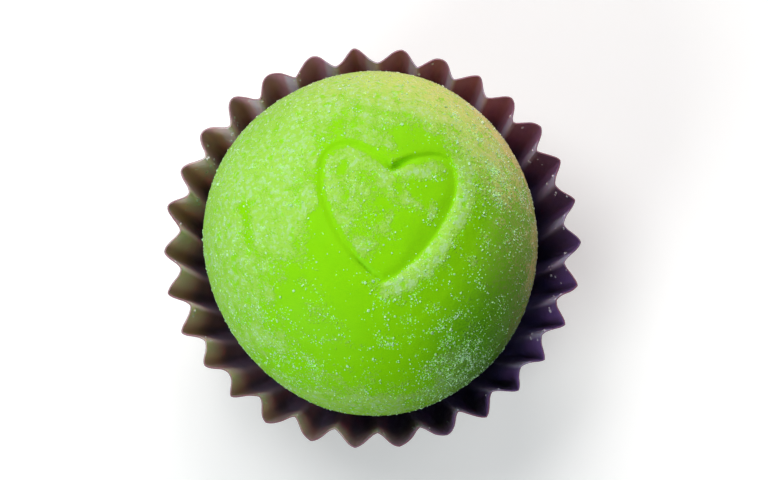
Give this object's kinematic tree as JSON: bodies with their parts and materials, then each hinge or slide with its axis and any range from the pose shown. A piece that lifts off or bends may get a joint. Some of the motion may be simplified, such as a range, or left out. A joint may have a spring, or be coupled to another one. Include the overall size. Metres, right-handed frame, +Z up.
{
  "type": "brigadeiro",
  "caption": "Round green sweet dusted with sugar, with a heart pressed into its crown, sitting in a pleated brown paper case with a flared wall and a flat foot.",
  "frame": {"origin": "middle of the paper case's foot, on the surface that it stands on", "axes": "+Z up, out of the case; +Y from the heart's tip towards its notch; +X to the right seen from above"},
  "size_m": [0.0389, 0.038, 0.0283],
  "materials": {
    "brown_paper": "satin",
    "green_fondant": "satin",
    "sugar": "satin"
  },
  "bodies": {
    "root": {"paper_case": "brown_paper", "sweet": "green_fondant"}
  },
  "joints": []
}
